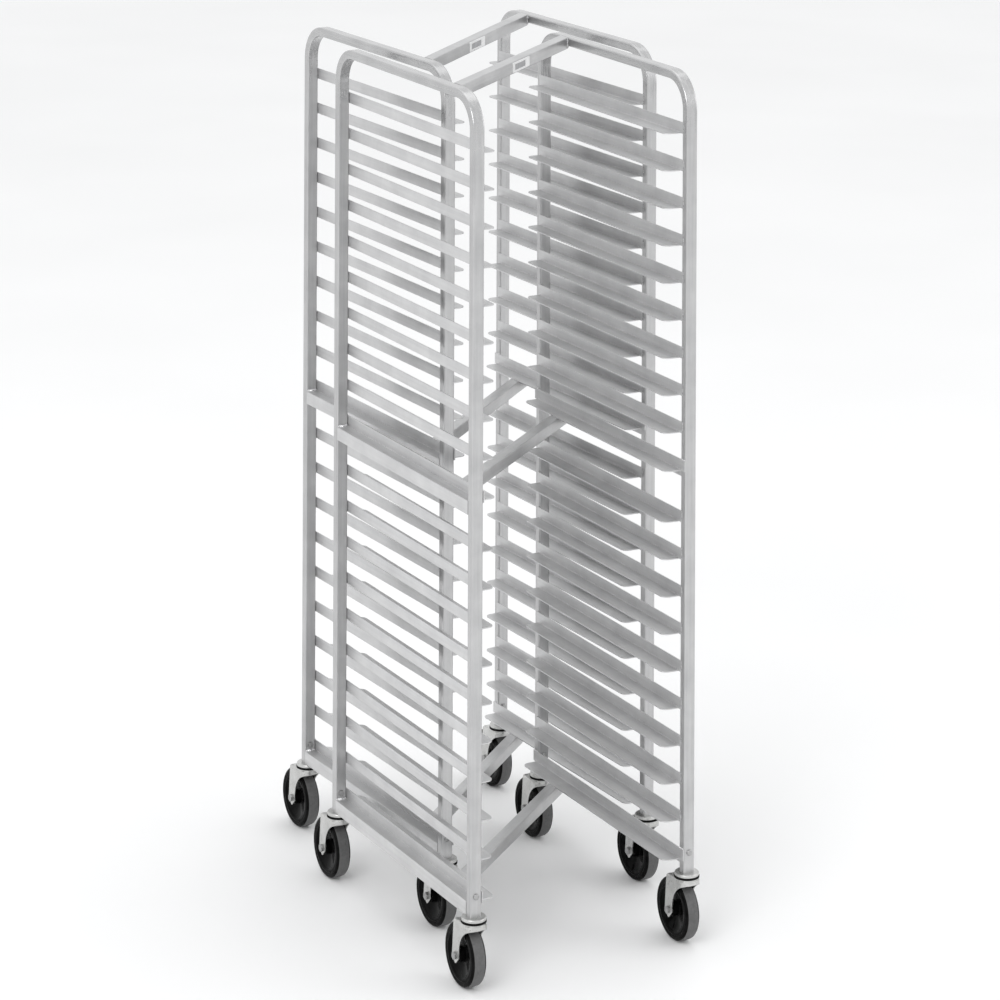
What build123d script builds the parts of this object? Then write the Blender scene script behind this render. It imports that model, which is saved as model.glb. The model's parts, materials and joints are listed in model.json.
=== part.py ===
from build123d import *
import os
from math import atan, cos, degrees, radians, sin

# A nested pair of sheet pan racks. Each rack is two upside-down U hoops of rectangular tube,
# joined by three tubes that run diagonally in plan, so that a second rack can roll into the
# first. Millimetres. +X runs from the left hoop to the right hoop, +Y from the open front to
# the rear, +Z up. Each rack is drawn with its left front post on the Z axis and the floor at
# zero, and the finished pair is centred over the origin.

# ---- frame of one rack -------------------------------------------------------------------
WIDTH = 489.0            # left hoop to right hoop, centre to centre
DEPTH = 619.0            # front post to rear post, centre to centre
HEIGHT = 1774.0          # floor to the top of the hoops
FOOT_Z = 150.0           # underside of the posts
TUBE_ACROSS = 25.4       # hoop tube, measured along X
TUBE_ALONG = 19.0        # hoop tube, measured in the plane of the hoop
TUBE_WALL = 1.6
TUBE_CORNER = 3.5
BEND_RADIUS = 67.0       # centre line of the two bends at the top of a hoop

# ---- levels ------------------------------------------------------------------------------
PITCH = 76.2             # from one level to the next
TOP_LEVEL_Z = 1651.5     # underside of the highest slide
MIDDLE_LEVEL = 10        # this level is a rail that carries the middle cross tube
BOTTOM_LEVEL = 20        # and this one carries the bottom cross tube
EXTRA_GAP = 28.5         # added once, below the middle rail, to clear the cross tube

# ---- slides and rails --------------------------------------------------------------------
SHEET = 2.0              # thickness of the slides and rails
LEG = 23.3               # height of the leg that is welded to the posts
LEDGE = 38.1             # width of the ledge that a pan rests on
SLIDE_SETBACK = 3.0      # leg end, behind the centre of the post
LEDGE_SETBACK = 11.4     # ledge end, behind the centre of the post
LEDGE_CORNER = 15.0
RAIL_LEDGE_SETBACK = 5.0 # a rail's ledge ends here, while its leg runs on over the post
LIP = 27.0               # height of a rail's outer lip
OUTER_BEND = 1.5
INNER_BEND = 1.0

# ---- cross tubes -------------------------------------------------------------------------
BAR = 25.4
BAR_CORNER = 2.0
BAR_SLOPE = 0.865        # run along Y for each unit along X
PLATE_LENGTH = 97.0      # blank identification plate
PLATE_HEIGHT = 21.0
PLATE_THICK = 0.8
FACE_LENGTH = 59.0       # sunk face of the plate, which has a wider border on the right
FACE_HEIGHT = 12.0
FACE_SHIFT = -6.0        # middle of the face, from the middle of the plate
FRONT_PLATE_SHIFT = 14.0 # middle of the plate, along the top cross tube from its middle
BACK_PLATE_SHIFT = -40.0

# ---- casters -----------------------------------------------------------------------------
TRAIL = 34.0             # swivel axis to axle
WHEEL_RADIUS = 63.5
TYRE_WIDTH = 32.0
TYRE_INNER_RADIUS = 51.0
TYRE_SHOULDER = 7.0
RIM_INNER_RADIUS = 44.0
RIM_WIDTH = 30.0
WEB_WIDTH = 8.0
BOSS_RADIUS = 14.0
HUB_LENGTH = 38.8
AXLE_RADIUS = 4.75
RUNNING_GAP = 0.05       # radial clearance of the axle and of the kingpin
NUT_ACROSS_FLATS = 14.0
NUT_THICK = 5.0
FORK_INSIDE = 40.0       # between the legs
FORK_PLATE = 3.0
FORK_TOP_Z = 137.0
FORK_CROWN_RADIUS = 26.0 # round front of the fork, with a skirt below its edge
FORK_SKIRT_Z = 128.5
FORK_REAR = 8.0          # rear edge of the fork's top, behind the axle
LEG_HALF = 14.5          # half of a leg's width at the axle
LEG_TIP = 17.0           # pointed end of a leg, below the axle
FORK_BEND = 6.0
RACE_RADIUS = 25.0
LOWER_RACE_Z = 143.2     # top of the race pressed into the fork
UPPER_RACE_Z = 144.0     # underside of the race on the stem
KINGPIN_RADIUS = 6.0
KINGPIN_HEAD_RADIUS = 10.0
KINGPIN_HEAD_THICK = 4.0
AXIAL_GAP = 0.3
PLUG_HEIGHT = 60.0       # part of the stem inside the post
PLUG_GAP = 0.1
STEM_BOLT_Z = 190.5
STEM_BOLT_RADIUS = 3.2
STEM_HEAD_RADIUS = 6.2
STEM_HEAD_THICK = 3.4

# ---- how the two racks stand in each other -----------------------------------------------
NEST_X = 84.2            # left front post of the back rack, from that of the front rack
NEST_Y = 289.8
NEST_YAW = 2.0           # the back rack stands slightly askew, in degrees

LOW = (Align.MIN, Align.MIN, Align.MIN)
HALF_TUBE = TUBE_ACROSS / 2
HALF_POST = TUBE_ALONG / 2
CORNERS = {
    "left_front": (0, 0),
    "left_rear": (0, DEPTH),
    "right_front": (WIDTH, 0),
    "right_rear": (WIDTH, DEPTH),
}


def level_z(level):
    """Underside of the ledge at a level, counted from the top"""
    z = TOP_LEVEL_Z - (level - 1) * PITCH
    return z - EXTRA_GAP if level > MIDDLE_LEVEL else z


def group(solids):
    return Compound(children=list(solids))


def to_right_side(shape):
    """The right hoop and what it carries mirror the left ones"""
    return mirror(shape, about=Plane.YZ.offset(WIDTH / 2))


# ---- hoops -------------------------------------------------------------------------------
def hoop():
    top = HEIGHT - HALF_POST
    corners = [(0, 0, FOOT_Z), (0, 0, top), (0, DEPTH, top), (0, DEPTH, FOOT_Z)]
    path = FilletPolyline(*corners, radius=BEND_RADIUS)
    outside = RectangleRounded(TUBE_ACROSS, TUBE_ALONG, TUBE_CORNER)
    bore_corner = TUBE_CORNER - TUBE_WALL
    inside = RectangleRounded(TUBE_ACROSS - 2 * TUBE_WALL, TUBE_ALONG - 2 * TUBE_WALL, bore_corner)
    tube = sweep(Pos(0, 0, FOOT_Z) * (outside - inside), path)
    bolt_hole = Rot(90, 0, 0) * Cylinder(STEM_BOLT_RADIUS + RUNNING_GAP, 2 * TUBE_ALONG)
    for y in (0, DEPTH):
        tube -= Pos(0, y, STEM_BOLT_Z) * bolt_hole
    return tube


# ---- slides and rails --------------------------------------------------------------------
def ledge_outline(leg_start, ledge_start):
    """Plan view of an angle: a strip for the leg and a ledge with rounded inner corners"""
    strip = Pos(HALF_TUBE, leg_start) * Rectangle(SHEET, DEPTH - 2 * leg_start, align=LOW[:2])
    ledge = Pos(HALF_TUBE, ledge_start) * Rectangle(LEDGE, DEPTH - 2 * ledge_start, align=LOW[:2])
    inner_corners = ledge.vertices().group_by(Axis.X)[-1]
    return strip + fillet(inner_corners, LEDGE_CORNER)


def angle_bar(leg_start, ledge_start, outer_bend):
    """Angle on the inside of the left hoop, with the underside of its ledge at z = 0"""
    corners = [(0, 0), (LEDGE, 0), (LEDGE, SHEET), (SHEET, SHEET), (SHEET, LEG), (0, LEG)]
    section = Plane.XZ * Pos(HALF_TUBE, 0) * make_face(Polyline(*corners, close=True))
    angle = extrude(section, DEPTH - 2 * leg_start, dir=(0, 1, 0))
    angle = Pos(0, leg_start, 0) * angle
    inner = angle.edges().filter_by(Axis.Y).sort_by_distance((HALF_TUBE + SHEET, DEPTH / 2, SHEET))[0]
    angle = fillet(inner, INNER_BEND)
    if outer_bend:
        outer = angle.edges().filter_by(Axis.Y).sort_by_distance((HALF_TUBE, DEPTH / 2, 0))[0]
        angle = fillet(outer, outer_bend)
    outline = Pos(0, 0, -1) * extrude(ledge_outline(leg_start, ledge_start), LEG + 2)
    return angle & outline


def slides():
    """Nine slides above the middle rail and nine below it"""
    slide = angle_bar(SLIDE_SETBACK, LEDGE_SETBACK, OUTER_BEND)
    levels = [n for n in range(1, BOTTOM_LEVEL) if n != MIDDLE_LEVEL]
    return group(Pos(0, 0, level_z(n)) * slide for n in levels)


def rail(level):
    """A full-depth angle with a web between the posts and a lip flush with their outer faces"""
    angle = angle_bar(-HALF_POST, RAIL_LEDGE_SETBACK, 0)
    length = DEPTH - TUBE_ALONG
    web = Pos(-HALF_TUBE, HALF_POST, 0) * Box(TUBE_ACROSS + SHEET, length, SHEET, align=LOW)
    lip = Pos(-HALF_TUBE, HALF_POST, SHEET - LIP) * Box(SHEET, length, LIP, align=LOW)
    apron = web + lip
    fold = apron.edges().filter_by(Axis.Y).sort_by_distance((-HALF_TUBE, DEPTH / 2, SHEET))[0]
    return Pos(0, 0, level_z(level)) * (angle + fillet(fold, OUTER_BEND))


# ---- cross tubes -------------------------------------------------------------------------
BAR_PLACE = Pos(WIDTH / 2, DEPTH / 2, 0) * Rot(0, 0, degrees(atan(BAR_SLOPE)))


def cross_bar(top_z, end_gap):
    """Square tube through the middle of the rack, cut off square to X at both ends"""
    tube_end = RectangleRounded(BAR, BAR, BAR_CORNER) - Rectangle(BAR - 2 * TUBE_WALL, BAR - 2 * TUBE_WALL)
    tube = extrude(Plane.YZ * tube_end, 2 * WIDTH, both=True)
    tube = BAR_PLACE * Pos(0, 0, top_z - BAR / 2) * tube
    span = WIDTH - 2 * end_gap
    return tube & Pos(WIDTH / 2, DEPTH / 2, top_z) * Box(span, 2 * DEPTH, 4 * BAR)


def label_plate(shift):
    """Blank plate with a sunk face, on the front of the top cross tube"""
    outline = Pos(shift, 0) * Rectangle(PLATE_LENGTH, PLATE_HEIGHT)
    face = Pos(shift + FACE_SHIFT, 0) * Rectangle(FACE_LENGTH, FACE_HEIGHT)
    plate = extrude(outline, 2 * PLATE_THICK) - Pos(0, 0, PLATE_THICK) * extrude(face, PLATE_THICK)
    return BAR_PLACE * Pos(0, -BAR / 2, HEIGHT - BAR / 2) * Rot(90, 0, 0) * plate


# ---- caster fixings, in the posts --------------------------------------------------------
def stem_bolt():
    """Round-headed bolt along Y with a hexagonal nut; its head faces the front"""
    shank = Cylinder(STEM_BOLT_RADIUS, TUBE_ALONG + NUT_THICK, align=(Align.CENTER, Align.CENTER, Align.MIN))
    head = Cylinder(STEM_HEAD_RADIUS, STEM_HEAD_THICK, align=(Align.CENTER, Align.CENTER, Align.MAX))
    head = fillet(head.edges().group_by(Axis.Z)[0], STEM_HEAD_THICK * 0.7)
    nut = Pos(0, 0, TUBE_ALONG) * extrude(RegularPolygon(STEM_HEAD_RADIUS, 6), NUT_THICK)
    return Pos(0, -HALF_POST, STEM_BOLT_Z) * Rot(-90, 0, 0) * (shank + head + nut)


def caster_stem():
    """Plug that fills the foot of a post, with the upper race and the kingpin below it"""
    width = TUBE_ACROSS - 2 * (TUBE_WALL + PLUG_GAP)
    depth = TUBE_ALONG - 2 * (TUBE_WALL + PLUG_GAP)
    plug = extrude(RectangleRounded(width, depth, TUBE_CORNER - TUBE_WALL), PLUG_HEIGHT)
    plug = Pos(0, 0, FOOT_Z) * plug
    plug -= Pos(0, 0, STEM_BOLT_Z) * Rot(90, 0, 0) * Cylinder(STEM_BOLT_RADIUS + RUNNING_GAP, 2 * TUBE_ALONG)
    race = Pos(0, 0, UPPER_RACE_Z) * extrude(Circle(RACE_RADIUS), FOOT_Z - UPPER_RACE_Z)
    race = fillet(race.edges().group_by(Axis.Z)[-1], 2.5)
    pin_bottom = FORK_TOP_Z - FORK_PLATE - AXIAL_GAP
    pin = Pos(0, 0, pin_bottom) * extrude(Circle(KINGPIN_RADIUS), UPPER_RACE_Z - pin_bottom)
    head = Pos(0, 0, pin_bottom - KINGPIN_HEAD_THICK) * extrude(Circle(KINGPIN_HEAD_RADIUS), KINGPIN_HEAD_THICK)
    head = fillet(head.edges().group_by(Axis.Z)[0], 1.5)
    return plug + race + pin + head


# ---- one caster, its swivel axis on Z and its wheel trailing towards +Y -------------------
def fork_side_view():
    """Flat top, straight rear edge, pointed leg and hollow front edge; Y to the right, Z up"""
    front = -FORK_CROWN_RADIUS
    rear = TRAIL + FORK_REAR
    shoulder = (rear, FORK_TOP_Z)
    rear_low = (TRAIL + LEG_HALF, WHEEL_RADIUS - 2)
    tip = (TRAIL, WHEEL_RADIUS - LEG_TIP)
    front_low = (TRAIL - LEG_HALF, WHEEL_RADIUS - 2)
    hollow = (TRAIL - 2 * LEG_HALF, WHEEL_RADIUS + 3.2 * LEG_HALF)
    outline = [
        Polyline((front, FORK_SKIRT_Z), (front, FORK_TOP_Z), shoulder, rear_low, tip, front_low),
        ThreePointArc(front_low, hollow, (front, FORK_SKIRT_Z)),
    ]
    side = make_face(outline)
    for corner, radius in ((shoulder, 8), (rear_low, 5), (tip, 4), (front_low, 5)):
        nearest = side.vertices().sort_by_distance((*corner, 0))[0]
        side = fillet(nearest, radius)
    return side


def fork():
    outside = FORK_INSIDE + 2 * FORK_PLATE
    under_plate = FORK_TOP_Z - FORK_PLATE
    reach = 4 * TRAIL
    body = extrude(Plane.YZ * fork_side_view(), outside / 2, both=True)
    bent = RectangleRounded(outside, 2 * FORK_TOP_Z, FORK_BEND)
    body &= extrude(Plane.XZ * bent, reach, both=True)
    plan = Circle(FORK_CROWN_RADIUS) + Pos(0, reach / 2) * Rectangle(outside, reach)
    body &= extrude(plan, 2 * FORK_TOP_Z)
    hollow_plan = Circle(FORK_CROWN_RADIUS - FORK_PLATE) + Pos(0, reach / 2) * Rectangle(outside, reach)
    hollow_bend = RectangleRounded(FORK_INSIDE, 2 * under_plate, FORK_BEND - FORK_PLATE)
    hollow = extrude(hollow_plan, under_plate) & extrude(Plane.XZ * hollow_bend, reach, both=True)
    body -= hollow
    race = Pos(0, 0, FORK_TOP_Z) * extrude(Circle(RACE_RADIUS), LOWER_RACE_Z - FORK_TOP_Z)
    body += fillet(race.edges().group_by(Axis.Z)[-1], 2)
    body -= Cylinder(KINGPIN_RADIUS + RUNNING_GAP, 4 * FORK_TOP_Z)
    hole = Rot(0, 90, 0) * Cylinder(AXLE_RADIUS + RUNNING_GAP, 2 * outside)
    return body - Pos(0, TRAIL, WHEEL_RADIUS) * hole


def on_axle(shape):
    """Lays a shape made about Z onto the wheel's axis"""
    return Pos(0, TRAIL, WHEEL_RADIUS) * Rot(0, 90, 0) * shape


def axle():
    grip = FORK_INSIDE + 2 * FORK_PLATE
    bolt = Cylinder(AXLE_RADIUS, grip + 2 * NUT_THICK)
    nut = extrude(RegularPolygon(NUT_ACROSS_FLATS / 2, 6, major_radius=False), NUT_THICK)
    return on_axle(bolt + Pos(0, 0, grip / 2) * nut + Pos(0, 0, -grip / 2 - NUT_THICK) * nut)


def hub():
    """Boss, thin web and rim, drilled for the axle"""
    boss = Cylinder(BOSS_RADIUS, HUB_LENGTH)
    web = Cylinder(RIM_INNER_RADIUS + 1, WEB_WIDTH)
    rim = Cylinder(TYRE_INNER_RADIUS, RIM_WIDTH) - Cylinder(RIM_INNER_RADIUS, RIM_WIDTH)
    return on_axle(boss + web + rim - Cylinder(AXLE_RADIUS + RUNNING_GAP, HUB_LENGTH))


def tyre():
    ring = Cylinder(WHEEL_RADIUS, TYRE_WIDTH)
    ring = fillet(ring.edges().filter_by(GeomType.CIRCLE), TYRE_SHOULDER)
    return on_axle(ring - Cylinder(TYRE_INNER_RADIUS, TYRE_WIDTH))


# ---- one rack ----------------------------------------------------------------------------
def rack(plate_shift):
    left = {
        "hoop": hoop(),
        "slides": slides(),
        "middle_rail": rail(MIDDLE_LEVEL),
        "bottom_rail": rail(BOTTOM_LEVEL),
    }
    nodes = {"left_" + name: shape for name, shape in left.items()}
    nodes.update({"right_" + name: to_right_side(shape) for name, shape in left.items()})
    lip_inside = SHEET - HALF_TUBE
    nodes["top_bar"] = cross_bar(HEIGHT, HALF_TUBE)
    nodes["middle_bar"] = cross_bar(level_z(MIDDLE_LEVEL), lip_inside)
    nodes["bottom_bar"] = cross_bar(level_z(BOTTOM_LEVEL), lip_inside)
    nodes["label_plate"] = label_plate(plate_shift)
    bolt = stem_bolt()
    rear_bolt = Pos(0, DEPTH, 0) * Rot(0, 0, 180) * bolt
    nodes["stem_bolts"] = group(Pos(x, 0, 0) * b for x in (0, WIDTH) for b in (bolt, rear_bolt))
    stem = caster_stem()
    nodes["caster_stems"] = group(Pos(x, y, 0) * stem for x, y in CORNERS.values())
    caster = {"fork": fork(), "axle": axle(), "hub": hub(), "tyre": tyre()}
    for corner, (x, y) in CORNERS.items():
        for name, shape in caster.items():
            nodes[corner + "_" + name] = Pos(x, y, 0) * shape
    return nodes


def nested_pair():
    back_place = Pos(NEST_X, NEST_Y, 0) * Rot(0, 0, NEST_YAW)
    nodes = {"front_" + name: shape for name, shape in rack(FRONT_PLATE_SHIFT).items()}
    for name, shape in rack(BACK_PLATE_SHIFT).items():
        nodes["back_" + name] = back_place * shape
    return nodes


def centred(nodes):
    """Stands the pair on the floor with the middle of its box over the origin"""
    boxes = [shape.bounding_box() for shape in nodes.values()]
    box = boxes[0]
    for other in boxes[1:]:
        box = box.add(other)
    middle = box.center()
    return {name: Pos(-middle.X, -middle.Y, -box.min.Z) * shape for name, shape in nodes.items()}


os.makedirs("parts", exist_ok=True)
for node, shape in centred(nested_pair()).items():
    export_step(shape, "parts/" + node + ".step")
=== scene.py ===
import json
from math import atan2, cos, pi, radians, sin

import bmesh
import bpy
from mathutils import Matrix, Vector


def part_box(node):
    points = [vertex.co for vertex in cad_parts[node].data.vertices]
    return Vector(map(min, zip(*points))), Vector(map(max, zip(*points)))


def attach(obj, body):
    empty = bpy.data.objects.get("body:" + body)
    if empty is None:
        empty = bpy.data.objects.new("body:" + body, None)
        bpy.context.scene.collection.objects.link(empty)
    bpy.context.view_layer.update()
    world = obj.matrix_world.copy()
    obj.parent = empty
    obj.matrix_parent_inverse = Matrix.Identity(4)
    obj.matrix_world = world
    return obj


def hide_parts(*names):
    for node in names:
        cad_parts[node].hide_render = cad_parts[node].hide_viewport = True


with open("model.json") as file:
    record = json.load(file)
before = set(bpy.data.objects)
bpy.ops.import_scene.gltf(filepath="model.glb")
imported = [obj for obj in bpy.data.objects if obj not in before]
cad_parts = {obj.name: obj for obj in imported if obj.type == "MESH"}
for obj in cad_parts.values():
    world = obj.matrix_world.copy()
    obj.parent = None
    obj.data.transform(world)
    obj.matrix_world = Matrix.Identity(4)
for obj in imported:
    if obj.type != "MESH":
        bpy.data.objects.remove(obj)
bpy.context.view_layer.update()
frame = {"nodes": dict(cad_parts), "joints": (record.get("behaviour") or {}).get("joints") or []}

# ---- sizes, in metres ----------------------------------------------------------------------
MM = 0.001
HALF_TUBE = 12.7 * MM        # hoop tube, half of its width across the rack
HALF_POST = 9.5 * MM         # and half of its depth
SHEET = 2.0 * MM
LEG = 23.3 * MM              # upright leg of a slide
LEDGE = 38.1 * MM            # width of a slide's ledge
SLIDE_SETBACK = 3.0 * MM     # from a post's centre line to the slide's end
PITCH = 76.2 * MM
BAR = 25.4 * MM              # a cross tube's section is square
BAR_SLOPE = 0.865            # of a cross tube in plan, depth over width
BAR_ANGLE = atan2(BAR_SLOPE, 1)
HOOP_TOP = 1.774
BEND_HEIGHT = 0.075          # the hoop's bends lie within this of its top
SLIDES_A_GROUP = 9

WHEEL_RADIUS = 63.5 * MM
TYRE_HALF = 16.0 * MM        # halves are measured along the axle, from the wheel's middle
SHOULDER = 7.0 * MM          # radius of the tread's shoulders
CROWN = 0.6 * MM             # rise of the tread from its shoulders to its middle
TREAD_HALF = TYRE_HALF - 4.5 * MM
RIM_RADIUS = 51.0 * MM
RIM_INNER = 44.0 * MM
RIM_HALF = 15.0 * MM
WEB_HALF = 4.0 * MM
CONE_DEPTH = 9.5 * MM
CONE_START = 16.4 * MM       # the radius at which the hub's cone begins
BOSS_RADIUS = 14.0 * MM
BOSS_HALF = 19.4 * MM
BORE_RADIUS = 4.8 * MM
SEAL_SECTION = (             # height above the fork's top and radius, in millimetres
    (-4.4, 25.0), (-4.0, 25.9), (-0.6, 25.9), (0.3, 25.4), (0.5, 24.6), (0.5, 20), (-4.4, 20),
)

# radii of the weld beads
SLIDE_BEAD = 1.2 * MM
WEB_BEAD = 3.2 * MM          # a rail's web on a post
LEG_BEAD = 1.7 * MM          # along the top of a rail's leg
LEDGE_BEAD = 1.8 * MM        # a cross tube under a ledge
CORNER_BEAD = 2.6 * MM       # up the sides of the top cross tube
PUDDLE = 5.2 * MM            # where such a bead ends in a blob
CLOSING_BEAD = 3.4 * MM      # across the top cross tube's open end
RIPPLE = 1.5 * MM            # from one ripple of a bead to the next
BEAD_SIDES = 10

LABEL_HALF_LENGTH = 48.5 * MM
LABEL_HALF_HEIGHT = 10.5 * MM
LABEL_THICK = 0.8 * MM
FACE_HALF_LENGTH = 29.5 * MM
FACE_HALF_HEIGHT = 6.0 * MM
FACE_SHIFT = -6.0 * MM       # the face's middle, along the plate from the plate's middle
CORNER_STEPS = 5

# ---- camera: a view camera with an upright film, looking down past the film's centre ----------
CAMERA_FROM_POST = Vector((-3.38425, -6.47119, 3.11551))
CAMERA_YAW = radians(27.987)
CAMERA_PITCH = radians(16.366)
CAMERA_ROLL = radians(0.252)
CAMERA_LENS = 138.77

# ---- studio --------------------------------------------------------------------------------
FLOOR_SIZE = 40
SKY_COLOUR = (0.99, 0.995, 1.0, 1)
SKY_STRENGTH = 0.99
OBJECT_MIDDLE = Vector((0, 0, 0.9))

# ---- names and axes --------------------------------------------------------------------------
RACKS = ("front", "back")
SIDES = ("left", "right")
ENDS = ("front", "rear")
ACROSS = Vector((1, 0, 0))
ALONG = Vector((0, 1, 0))
UP = Vector((0, 0, 1))


# ---- places ------------------------------------------------------------------------------
def joint(name):
    return next(j for j in frame["joints"] if j["name"] == name)


def post(rack, side, end):
    """Centre line of a post, on the floor"""
    x, y, _ = joint(f"{rack}_{side}_{end}_swivel_turn")["pos_m"]
    return Vector((x, y, 0))


def rack_place(rack):
    """From a rack's own frame, with its left front post on Z, to the model's frame"""
    origin = post(rack, "left", "front")
    across = (post(rack, "right", "front") - origin).normalized()
    along = (post(rack, "left", "rear") - origin).normalized()
    turn = Matrix((across, along, UP)).transposed().to_4x4()
    return Matrix.Translation(origin) @ turn


def caster_place(rack, side, end):
    shift = post(rack, side, end) - post(rack, "left", "front")
    return Matrix.Translation(shift) @ rack_place(rack)


def width(rack):
    return (post(rack, "right", "front") - post(rack, "left", "front")).length


def depth(rack):
    return (post(rack, "left", "rear") - post(rack, "left", "front")).length


# ---- materials -----------------------------------------------------------------------------
def new_material(name, colour, metallic, roughness):
    material = bpy.data.materials.new(name)
    material.use_nodes = True
    shader = material.node_tree.nodes["Principled BSDF"]
    shader.inputs["Base Color"].default_value = (*colour, 1)
    shader.inputs["Metallic"].default_value = metallic
    shader.inputs["Roughness"].default_value = roughness
    return material, shader


def add(material, kind, **settings):
    node = material.node_tree.nodes.new(kind)
    for key, value in settings.items():
        if key in node.inputs:
            node.inputs[key].default_value = value
        else:
            setattr(node, key, value)
    return node


def join(material, output, socket):
    material.node_tree.links.new(output, socket)


def noise(material, scale, length=(1, 1, 1), turn=0.0, detail=3.0, rough=0.5):
    """Noise over the object's own coordinates, in waves per metre, drawn out by length in a
    frame that is turned about Z"""
    place = add(material, "ShaderNodeTexCoord")
    mapping = add(material, "ShaderNodeMapping", vector_type="TEXTURE", Scale=length,
                  Rotation=(0, 0, turn))
    texture = add(material, "ShaderNodeTexNoise", Scale=scale, Detail=detail, Roughness=rough)
    join(material, place.outputs["Object"], mapping.inputs["Vector"])
    join(material, mapping.outputs["Vector"], texture.inputs["Vector"])
    return texture.outputs["Fac"]


def height(material):
    """How high a point is above the floor, in metres"""
    place = add(material, "ShaderNodeTexCoord")
    parts = add(material, "ShaderNodeSeparateXYZ")
    join(material, place.outputs["Object"], parts.inputs[0])
    return parts.outputs["Z"]


def drawn_out(material, scale, length, along, detail):
    """Noise drawn out along X, Y or Z, along a cross tube, or round a hoop"""
    if along == "hoop":
        upright = drawn_out(material, scale, length, "Z", detail)
        level = drawn_out(material, scale, length, "Y", detail)
        share = spread(material, height(material), 0, 1,
                       HOOP_TOP - BEND_HEIGHT, HOOP_TOP - BEND_HEIGHT / 2)
        return blend_values(material, upright, level, share)
    if along == "bar":
        return noise(material, scale, (length, 1, 1), BAR_ANGLE, detail)
    lengths = tuple(length if axis == along else 1.0 for axis in "XYZ")
    return noise(material, scale, lengths, 0.0, detail)


def spread(material, value, low, high, start=0.3, end=0.7):
    """Maps a value from start..end onto low..high"""
    node = add(material, "ShaderNodeMapRange")
    for key, number in (("From Min", start), ("From Max", end), ("To Min", low), ("To Max", high)):
        node.inputs[key].default_value = number
    join(material, value, node.inputs["Value"])
    return node.outputs["Result"]


def tint(material, shader, pattern, dark, light):
    """A base colour between two, by a noise. The Mix node's colours are its inputs 6 and 7 and its
    output 2"""
    node = add(material, "ShaderNodeMix", data_type="RGBA")
    join(material, spread(material, pattern, 0, 1), node.inputs[0])
    node.inputs[6].default_value = (*dark, 1)
    node.inputs[7].default_value = (*light, 1)
    join(material, node.outputs[2], shader.inputs["Base Color"])


def blend_values(material, a, b, share):
    """Between two values, by a number or by a third value. The Mix node's numbers are its inputs
    2 and 3 and its output 0"""
    node = add(material, "ShaderNodeMix", data_type="FLOAT")
    if isinstance(share, float):
        node.inputs[0].default_value = share
    else:
        join(material, share, node.inputs[0])
    join(material, a, node.inputs[2])
    join(material, b, node.inputs[3])
    return node.outputs[0]


def bumped(material, shader, relief, distance, strength):
    node = add(material, "ShaderNodeBump", Strength=strength, Distance=distance)
    join(material, relief, node.inputs["Height"])
    join(material, node.outputs["Normal"], shader.inputs["Normal"])


def drawn_aluminium(name, along, dark, light, low, high):
    """Mill finish: die lines along the section, cloudy oxide, handling marks. A hoop is also
    burnished at its bends"""
    material, shader = new_material(name, light, 0.8, low)
    lines = drawn_out(material, 900, 80, along, 2.0)
    streaks = drawn_out(material, 160, 33, along, 3.0)
    clouds = noise(material, 14, detail=4.0, rough=0.6)
    marks = noise(material, 95, detail=6.0, rough=0.75)
    shade = blend_values(material, streaks, clouds, 0.55)
    tint(material, shader, shade, dark, light)
    gloss = spread(material, blend_values(material, marks, streaks, 0.45), low, high)
    if along == "hoop":
        burnished = spread(material, streaks, 0.18, 0.32)
        bend = spread(material, height(material), 0, 1,
                      HOOP_TOP - 2 * BEND_HEIGHT, HOOP_TOP - BEND_HEIGHT)
        gloss = blend_values(material, gloss, burnished, bend)
    join(material, gloss, shader.inputs["Roughness"])
    bumped(material, shader, blend_values(material, lines, marks, 0.25), 0.06 * MM, 0.5)
    return material


def zinc_plate(name, dark, light):
    """Pressed steel with bright zinc: fine mottle, faint spangle and stamping marks"""
    material, shader = new_material(name, light, 1.0, 0.3)
    mottle = noise(material, 220, detail=5.0, rough=0.65)
    clouds = noise(material, 40, detail=3.0)
    shade = blend_values(material, mottle, clouds, 0.5)
    tint(material, shader, shade, dark, light)
    join(material, spread(material, mottle, 0.22, 0.42), shader.inputs["Roughness"])
    bumped(material, shader, mottle, 0.08 * MM, 0.5)
    return material


def moulded_plastic(name, dark, light, low, high):
    """Black nylon: slight sheen, fine mould grain and flow clouds"""
    material, shader = new_material(name, dark, 0.0, low)
    shader.inputs["Specular IOR Level"].default_value = 0.035
    grain = noise(material, 1400, detail=2.0)
    flow = noise(material, 60, detail=3.0)
    tint(material, shader, flow, dark, light)
    join(material, spread(material, flow, low, high), shader.inputs["Roughness"])
    bumped(material, shader, grain, 0.05 * MM, 0.4)
    return material


def worn_rubber(name, dark, light):
    """Tread: dusty, dull, with scuffs round the wheel"""
    material, shader = new_material(name, dark, 0.0, 0.55)
    dust = noise(material, 90, detail=6.0, rough=0.7)
    scuffs = noise(material, 420, detail=3.0)
    shade = blend_values(material, dust, scuffs, 0.4)
    tint(material, shader, shade, dark, light)
    join(material, spread(material, dust, 0.42, 0.68), shader.inputs["Roughness"])
    bumped(material, shader, blend_values(material, scuffs, dust, 0.5), 0.2 * MM, 0.5)
    return material


def weld_metal(name, dark, light):
    """Rippled, with grey soot in its hollows"""
    material, shader = new_material(name, light, 1.0, 0.25)
    soot = noise(material, 260, detail=4.0)
    tint(material, shader, soot, dark, light)
    join(material, spread(material, soot, 0.18, 0.4), shader.inputs["Roughness"])
    bumped(material, shader, soot, 0.3 * MM, 0.6)
    return material


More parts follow.
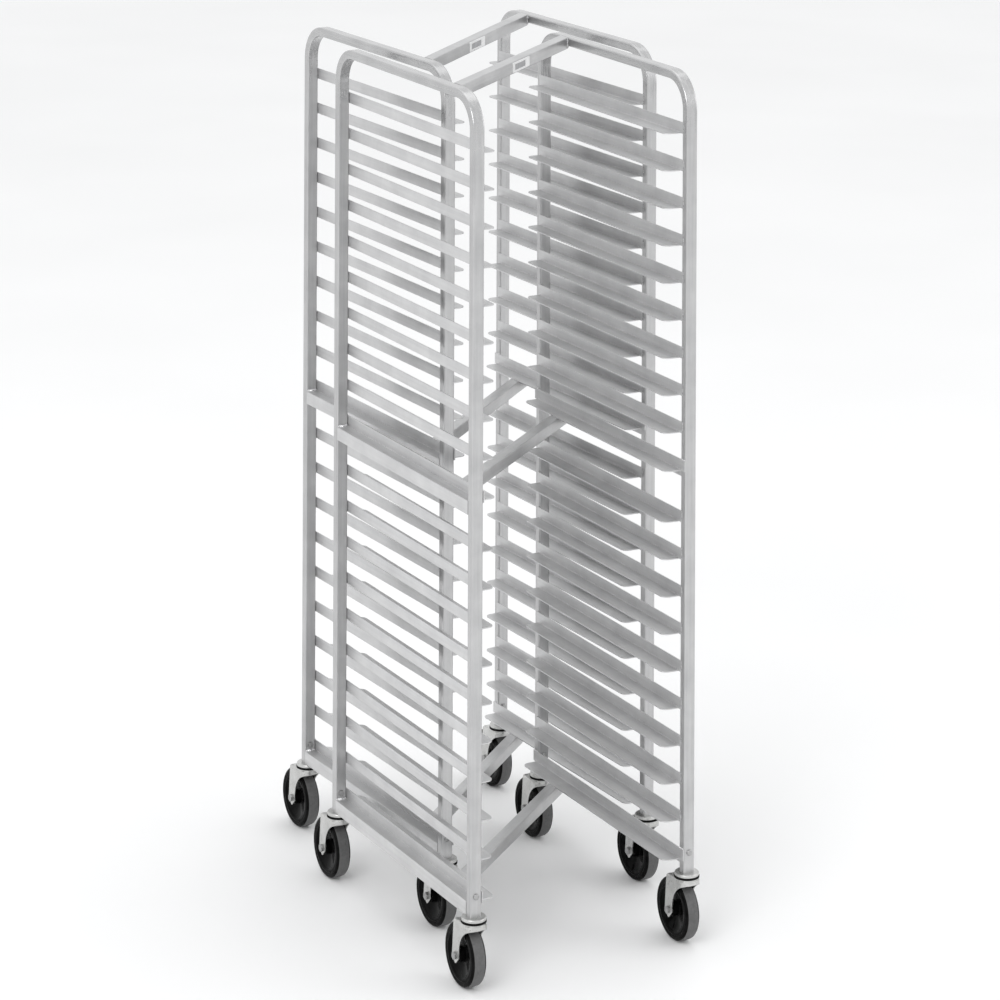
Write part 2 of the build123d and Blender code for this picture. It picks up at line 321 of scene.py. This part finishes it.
def etched_label(name):
    """Blank, finely grained plate"""
    material, shader = new_material(name, (0.5, 0.5, 0.51), 0.85, 0.42)
    grain = noise(material, 700, (1, 1, 20), detail=2.0)
    clouds = noise(material, 80, detail=3.0)
    tint(material, shader, clouds, (0.36, 0.36, 0.37), (0.46, 0.46, 0.47))
    join(material, spread(material, grain, 0.35, 0.5), shader.inputs["Roughness"])
    bumped(material, shader, grain, 0.05 * MM, 0.5)
    return material


def studio_floor(name):
    material, shader = new_material(name, (0.92, 0.92, 0.92), 0.0, 0.7)
    clouds = noise(material, 0.8, detail=2.0)
    tint(material, shader, clouds, (0.9, 0.9, 0.9), (0.93, 0.93, 0.93))
    return material


# ---- mesh helpers ----------------------------------------------------------------------------
def finish_piece(name, work, place, body, materials):
    """Makes the work an object that rides on a body"""
    bmesh.ops.recalc_face_normals(work, faces=work.faces)
    mesh = bpy.data.meshes.new(name)
    work.to_mesh(mesh)
    work.free()
    mesh.transform(place)
    for material in materials:
        mesh.materials.append(material)
    piece = bpy.data.objects.new(name, mesh)
    bpy.context.scene.collection.objects.link(piece)
    mesh.shade_smooth()
    mesh.set_sharp_from_angle(angle=radians(32))
    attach(piece, body)
    return piece


def ring_of(work, centre, u, v, radius, count):
    """A loop of vertices round a centre, in the plane of u and v"""
    loop = []
    for i in range(count):
        turn = 2 * pi * i / count
        loop.append(work.verts.new(centre + (u * cos(turn) + v * sin(turn)) * radius))
    return loop


def skin(work, loops, closed=False):
    """Faces between one loop and the next; the end loops are capped unless the row is closed"""
    following = loops[1:] + loops[:1] if closed else loops[1:]
    for a, b in zip(loops, following):
        for i in range(len(a)):
            j = (i + 1) % len(a)
            work.faces.new((a[i], a[j], b[j], b[i]))
    if not closed:
        work.faces.new(loops[0])
        work.faces.new(loops[-1])


def lathe(work, profile, centre, segments, band=0.0):
    """Turns a closed profile of (x, radius) about the X axis through centre. Faces less than band
    from the middle get the second material"""
    loops = [ring_of(work, centre + ACROSS * x, ALONG, UP, radius, segments) for x, radius in profile]
    skin(work, loops, closed=True)
    for face in work.faces:
        face.material_index = int(abs(face.calc_center_median().x - centre.x) < band)


def bead(work, start, end, radius):
    """A weld bead: a row of overlapping ripples, tapered at both ends"""
    axis = end - start
    length = axis.length
    axis.normalize()
    side = axis.orthogonal().normalized()
    other = axis.cross(side)
    steps = max(6, int(length / RIPPLE * 3))
    loops = []
    for i in range(steps + 1):
        share = i / steps
        taper = min(1.0, 6 * share + 0.25, 6 * (1 - share) + 0.25)
        wave = 1 + 0.13 * cos(2 * pi * share * length / RIPPLE)
        wander = 0.1 * radius * sin(9 * share + 40 * start.z)
        centre = start + axis * length * share + side * wander
        loops.append(ring_of(work, centre, side, other, radius * taper * wave, BEAD_SIDES))
    skin(work, loops)


# ---- finishes of the CAD nodes -----------------------------------------------------------------
def soften(node, size):
    """Rounds the arrises of sheet and plate, as a deburring tool does"""
    merge = node.modifiers.new("merge", "WELD")
    merge.merge_threshold = 0.01 * MM
    bevel = node.modifiers.new("arris", "BEVEL")
    bevel.width = size
    bevel.segments = 2
    bevel.limit_method = "ANGLE"
    bevel.angle_limit = radians(60)
    bevel.harden_normals = False


def paint(node, material):
    node.data.materials.clear()
    node.data.materials.append(material)


# each has its darkest and lightest colour, and the metals and plastics their roughness range
HOOP = drawn_aluminium("aluminium_hoop", "hoop",
                       (0.42, 0.42, 0.425), (0.57, 0.57, 0.57), 0.26, 0.44)
CROSS_TUBE = drawn_aluminium("aluminium_cross_tube", "bar",
                             (0.44, 0.44, 0.445), (0.6, 0.6, 0.6), 0.28, 0.46)
SLIDE = drawn_aluminium("aluminium_sheet", "Y",
                        (0.53, 0.53, 0.535), (0.68, 0.68, 0.68), 0.34, 0.52)
ZINC = zinc_plate("zinc_plate", (0.46, 0.46, 0.45), (0.66, 0.66, 0.65))
BOLT = zinc_plate("bolt_steel", (0.28, 0.28, 0.28), (0.5, 0.5, 0.5))
HUB = moulded_plastic("hub_nylon", (0.002, 0.002, 0.002), (0.006, 0.006, 0.006), 0.08, 0.18)
SEAL = moulded_plastic("seal_rubber", (0.006, 0.006, 0.006), (0.012, 0.012, 0.012), 0.4, 0.55)
SIDEWALL = moulded_plastic("tyre_sidewall", (0.002, 0.002, 0.002), (0.007, 0.007, 0.007), 0.22, 0.36)
TREAD = worn_rubber("tyre_tread", (0.06, 0.06, 0.06), (0.13, 0.13, 0.13))
WELD = weld_metal("weld", (0.5, 0.5, 0.51), (0.85, 0.85, 0.85))
DULL_WELD = weld_metal("weld_dull", (0.36, 0.36, 0.37), (0.55, 0.55, 0.55))
LABEL = etched_label("label_face")
LABEL_RIM = zinc_plate("label_rim", (0.8, 0.8, 0.8), (0.94, 0.94, 0.94))
FLOOR = studio_floor("floor")


def finish_cad_nodes():
    for name, node in frame["nodes"].items():
        if name.endswith("hoop"):
            paint(node, HOOP)
        elif name.endswith("_bar"):
            paint(node, CROSS_TUBE)
            soften(node, 0.3 * MM)
        elif name.endswith(("slides", "rail")):
            paint(node, SLIDE)
            soften(node, 0.45 * MM)
        elif name.endswith("fork"):
            paint(node, ZINC)
            soften(node, 0.6 * MM)
        elif name.endswith(("axle", "stem_bolts")):
            paint(node, BOLT)
            soften(node, 0.4 * MM)
        else:
            paint(node, ZINC)


# ---- pieces of a rack ----------------------------------------------------------------------
def slide_levels():
    """Undersides of all slides, taken from the slides' own box"""
    low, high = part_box("front_left_slides")
    upper = [high.z - LEG - i * PITCH for i in range(SLIDES_A_GROUP)]
    lower = [low.z + i * PITCH for i in range(SLIDES_A_GROUP)]
    return upper + lower


def rail_levels():
    """Upper faces of the middle and bottom rails' ledges"""
    return [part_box(f"front_left_{which}_rail")[1].z - LEG + SHEET for which in ("middle", "bottom")]


def mirrored(rack, side, x):
    return x if side == "left" else width(rack) - x


def slide_welds(rack, side):
    """An upright bead on the post at each end of every slide"""
    work = bmesh.new()
    x = mirrored(rack, side, HALF_TUBE + 0.4 * MM)
    for z in slide_levels():
        for y in (SLIDE_SETBACK - 0.6 * MM, depth(rack) - SLIDE_SETBACK + 0.6 * MM):
            bead(work, Vector((x, y, z + 3 * MM)), Vector((x, y, z + LEG - 2 * MM)), SLIDE_BEAD)
    finish_piece(f"{rack}_{side}_slide_welds", work, rack_place(rack), f"{rack}_rack",
                 [DULL_WELD])


def rail_welds(rack, side):
    """Beads where a rail's web meets the posts and along the top of its leg"""
    work = bmesh.new()
    for z in rail_levels():
        for y in (HALF_POST, depth(rack) - HALF_POST):
            outer = mirrored(rack, side, -HALF_TUBE + 2 * MM)
            inner = mirrored(rack, side, HALF_TUBE - 0.5 * MM)
            bead(work, Vector((outer, y, z + 0.3 * MM)), Vector((inner, y, z + 0.3 * MM)), WEB_BEAD)
        leg_x = mirrored(rack, side, HALF_TUBE + 0.6 * MM)
        top = z + LEG - SHEET - 0.3 * MM
        for y in (-HALF_POST + 1 * MM, depth(rack) - HALF_POST + 1 * MM):
            far = y + 2 * HALF_POST - 2 * MM
            bead(work, Vector((leg_x, y, top)), Vector((leg_x, far, top)), LEG_BEAD)
    finish_piece(f"{rack}_{side}_rail_welds", work, rack_place(rack), f"{rack}_rack",
                 [WELD])


def bar_welds(rack):
    """Beads that close the ends of the top cross tube, and run along the lower ones under the
    ledges"""
    work = bmesh.new()
    reach = BAR / 2 / cos(BAR_ANGLE)
    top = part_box(f"{rack}_top_bar")[1].z
    middle = Vector((width(rack) / 2, depth(rack) / 2, 0))
    for side in SIDES:
        x = mirrored(rack, side, HALF_TUBE)
        y = middle.y + BAR_SLOPE * (x - middle.x)
        for shift in (-reach, reach):
            corner = Vector((x, y + shift, top))
            bead(work, corner - UP * (BAR - 1 * MM), corner - UP * 2 * MM, CORNER_BEAD)
            bead(work, corner - UP * 9 * MM, corner - UP * 4.5 * MM, PUDDLE)
        closing = top - BAR + 3.1 * MM
        bead(work, Vector((x, y - reach, closing)), Vector((x, y + reach, closing)), CLOSING_BEAD)
    for z in rail_levels():
        under = z - SHEET - 0.2 * MM
        for side in SIDES:
            for shift in (-reach, reach):
                outer = mirrored(rack, side, -HALF_TUBE + 5 * MM)
                inner = mirrored(rack, side, HALF_TUBE + LEDGE - 4 * MM)
                ends = [Vector((x, middle.y + BAR_SLOPE * (x - middle.x) + shift, under))
                        for x in (outer, inner)]
                bead(work, *ends, LEDGE_BEAD)
    finish_piece(f"{rack}_bar_welds", work, rack_place(rack), f"{rack}_rack", [WELD])


def label(rack):
    """Blank plate: a grained face inside a bright border that is wider on the right"""
    low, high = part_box(f"{rack}_label_plate")
    turn = rack_place(rack).to_3x3().to_4x4() @ Matrix.Rotation(BAR_ANGLE, 4, "Z")
    place = Matrix.Translation((low + high) / 2) @ turn
    body = f"{rack}_rack"
    face = bmesh.new()
    section = ((0.9, LABEL_THICK), (0.9, 0.15 * MM), (0.92, 0))
    skin(face, [plate_loop(face, share, y) for share, y in section])
    plate = finish_piece(f"{rack}_label_face", face, place, body, [LABEL])
    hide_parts(f"{rack}_label_plate")
    border = bmesh.new()
    section = ((0, LABEL_THICK), (0, -0.5 * MM), (0.05, -LABEL_THICK),
               (0.94, -LABEL_THICK), (1, -0.5 * MM), (1, LABEL_THICK))
    skin(border, [plate_loop(border, share, y) for share, y in section], closed=True)
    finish_piece(f"{rack}_label_rim", border, place, body, [LABEL_RIM])


def plate_loop(work, share, y):
    """A rounded rectangle between the plate's outline, at 0, and the edge of its face, at 1"""
    half_x = LABEL_HALF_LENGTH + (FACE_HALF_LENGTH - LABEL_HALF_LENGTH) * share
    half_z = LABEL_HALF_HEIGHT + (FACE_HALF_HEIGHT - LABEL_HALF_HEIGHT) * share
    radius = 2.2 * MM - 1.2 * MM * share
    loop = []
    for corner, (sx, sz) in enumerate(((1, 1), (-1, 1), (-1, -1), (1, -1))):
        centre = Vector((FACE_SHIFT * share + sx * (half_x - radius), y, sz * (half_z - radius)))
        for i in range(CORNER_STEPS + 1):
            turn = pi / 2 * (corner + i / CORNER_STEPS)
            loop.append(work.verts.new(centre + Vector((cos(turn), 0, sin(turn))) * radius))
    return loop


# ---- casters -------------------------------------------------------------------------------
def wheel_centre(rack, side, end):
    """The wheel's centre in its caster's own frame"""
    hub = Vector(joint(f"{rack}_{side}_{end}_wheel_spin")["pos_m"])
    return Vector((0, (hub - post(rack, side, end)).xy.length, hub.z))


def mirror_side(half):
    """The other half of a wheel's profile, without the points on its middle"""
    return [(-x, radius) for x, radius in reversed(half) if x]


def tyre(rack, side, end):
    """Crowned tread with a fine parting line, rounded shoulders and a moulded step on each wall"""
    half = [
        (TYRE_HALF - 1.0 * MM, RIM_RADIUS), (TYRE_HALF - 0.4 * MM, RIM_RADIUS + 0.6 * MM),
        (TYRE_HALF - 0.4 * MM, RIM_RADIUS + 3 * MM), (TYRE_HALF, RIM_RADIUS + 3.5 * MM),
    ]
    for i in range(9):
        turn = pi / 2 * i / 8
        half.append((TYRE_HALF - SHOULDER * (1 - cos(turn)),
                     WHEEL_RADIUS - CROWN - SHOULDER * (1 - sin(turn))))
    for share in (0.75, 0.5, 0.25, 0.06):
        half.append(((TYRE_HALF - SHOULDER) * share, WHEEL_RADIUS - CROWN * share ** 2))
    half.append((0, WHEEL_RADIUS - 0.15 * MM))
    work = bmesh.new()
    lathe(work, half + mirror_side(half), wheel_centre(rack, side, end), 112, band=TREAD_HALF)
    body = f"{rack}_{side}_{end}_wheel"
    piece = finish_piece(f"{rack}_{side}_{end}_tread", work, caster_place(rack, side, end), body,
                         [SIDEWALL, TREAD])
    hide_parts(f"{rack}_{side}_{end}_tyre")


def hub(rack, side, end):
    """Moulded hub: bearing seat, boss, and a smooth polished cone out to the rim"""
    half = [
        (0, BORE_RADIUS), (BOSS_HALF - 0.6 * MM, BORE_RADIUS), (BOSS_HALF, BORE_RADIUS + 0.6 * MM),
        (BOSS_HALF, BOSS_RADIUS - 4 * MM), (BOSS_HALF - 1 * MM, BOSS_RADIUS - 3.4 * MM),
        (BOSS_HALF - 1 * MM, BOSS_RADIUS - 1.2 * MM), (BOSS_HALF - 1.8 * MM, BOSS_RADIUS - 0.2 * MM),
        (WEB_HALF + 1.5 * MM, BOSS_RADIUS + 0.6 * MM), (WEB_HALF, CONE_START),
    ]
    for share in (0.05, 0.35, 0.65, 0.93, 1.0):
        half.append((WEB_HALF + CONE_DEPTH * share, CONE_START + (RIM_INNER - CONE_START) * share))
    half += [
        (RIM_HALF - 0.6 * MM, RIM_INNER + 0.8 * MM), (RIM_HALF, RIM_INNER + 1.8 * MM),
        (RIM_HALF, RIM_RADIUS - 0.8 * MM), (RIM_HALF - 0.6 * MM, RIM_RADIUS - 0.1 * MM),
    ]
    work = bmesh.new()
    lathe(work, half + mirror_side(half), wheel_centre(rack, side, end), 96)
    body = f"{rack}_{side}_{end}_wheel"
    piece = finish_piece(f"{rack}_{side}_{end}_hub_moulding", work, caster_place(rack, side, end),
                         body, [HUB])
    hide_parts(f"{rack}_{side}_{end}_hub")


def swivel_seal(rack, side, end):
    """The dark ring between the two races"""
    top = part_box(f"{rack}_{side}_{end}_fork")[1].z
    work = bmesh.new()
    loops = [ring_of(work, UP * (top + lift * MM), ACROSS, ALONG, radius * MM, 64)
             for lift, radius in SEAL_SECTION]
    skin(work, loops, closed=True)
    body = f"{rack}_{side}_{end}_swivel"
    finish_piece(f"{rack}_{side}_{end}_swivel_seal", work, caster_place(rack, side, end), body,
                 [SEAL])


# ---- studio --------------------------------------------------------------------------------
def studio():
    floor = bmesh.new()
    bmesh.ops.create_grid(floor, x_segments=8, y_segments=8, size=FLOOR_SIZE)
    mesh = bpy.data.meshes.new("floor")
    floor.to_mesh(mesh)
    floor.free()
    mesh.materials.append(FLOOR)
    plane = bpy.data.objects.new("floor", mesh)
    bpy.context.scene.collection.objects.link(plane)
    world = bpy.data.worlds.new("studio")
    world.use_nodes = True
    sky = world.node_tree.nodes["Background"]
    sky.inputs["Color"].default_value = SKY_COLOUR
    sky.inputs["Strength"].default_value = SKY_STRENGTH
    bpy.context.scene.world = world
    soft_light("key", (-4.5, -3.5, 4.5), size=3.0, power=110)
    soft_light("fill", (4.5, -3.0, 3.0), size=3.0, power=40)
    soft_light("top", (0.5, 1.0, 6.0), size=4.0, power=30)
    bpy.context.scene.view_settings.view_transform = "Standard"


def soft_light(name, place, size, power):
    """A square light of this size in metres and power in watts, aimed at the object's middle"""
    light = bpy.data.lights.new(name, "AREA")
    light.shape = "SQUARE"
    light.size = size
    light.energy = power
    lamp = bpy.data.objects.new(name, light)
    bpy.context.scene.collection.objects.link(lamp)
    lamp.location = place
    aim = OBJECT_MIDDLE - Vector(place)
    lamp.rotation_euler = aim.to_track_quat("-Z", "Y").to_euler()


def camera():
    """The film stays upright while the lens looks down, so posts stay parallel in the picture"""
    level = Vector((sin(CAMERA_YAW), cos(CAMERA_YAW), 0))
    right = Vector((cos(CAMERA_YAW), -sin(CAMERA_YAW), 0))
    film_x = right * cos(CAMERA_ROLL) + UP * sin(CAMERA_ROLL)
    film_y = UP * cos(CAMERA_ROLL) - right * sin(CAMERA_ROLL)
    back = UP * sin(CAMERA_PITCH) - level * cos(CAMERA_PITCH)
    place = post("front", "left", "front") + CAMERA_FROM_POST
    data = bpy.data.cameras.new("camera")
    data.lens = CAMERA_LENS
    data.sensor_width = 36
    data.clip_end = 200
    view = bpy.data.objects.new("camera", data)
    bpy.context.scene.collection.objects.link(view)
    mount = bpy.data.objects.new("camera_mount", None)
    bpy.context.scene.collection.objects.link(mount)
    view.parent = mount
    view.matrix_parent_inverse = Matrix((
        (film_x.x, film_y.x, back.x, place.x),
        (film_x.y, film_y.y, back.y, place.y),
        (film_x.z, film_y.z, back.z, place.z),
        (0, 0, 0, 1),
    ))
    bpy.context.scene.camera = view


finish_cad_nodes()
for rack in RACKS:
    bar_welds(rack)
    label(rack)
    for side in SIDES:
        slide_welds(rack, side)
        rail_welds(rack, side)
        for end in ENDS:
            tyre(rack, side, end)
            hub(rack, side, end)
            swivel_seal(rack, side, end)
studio()
camera()
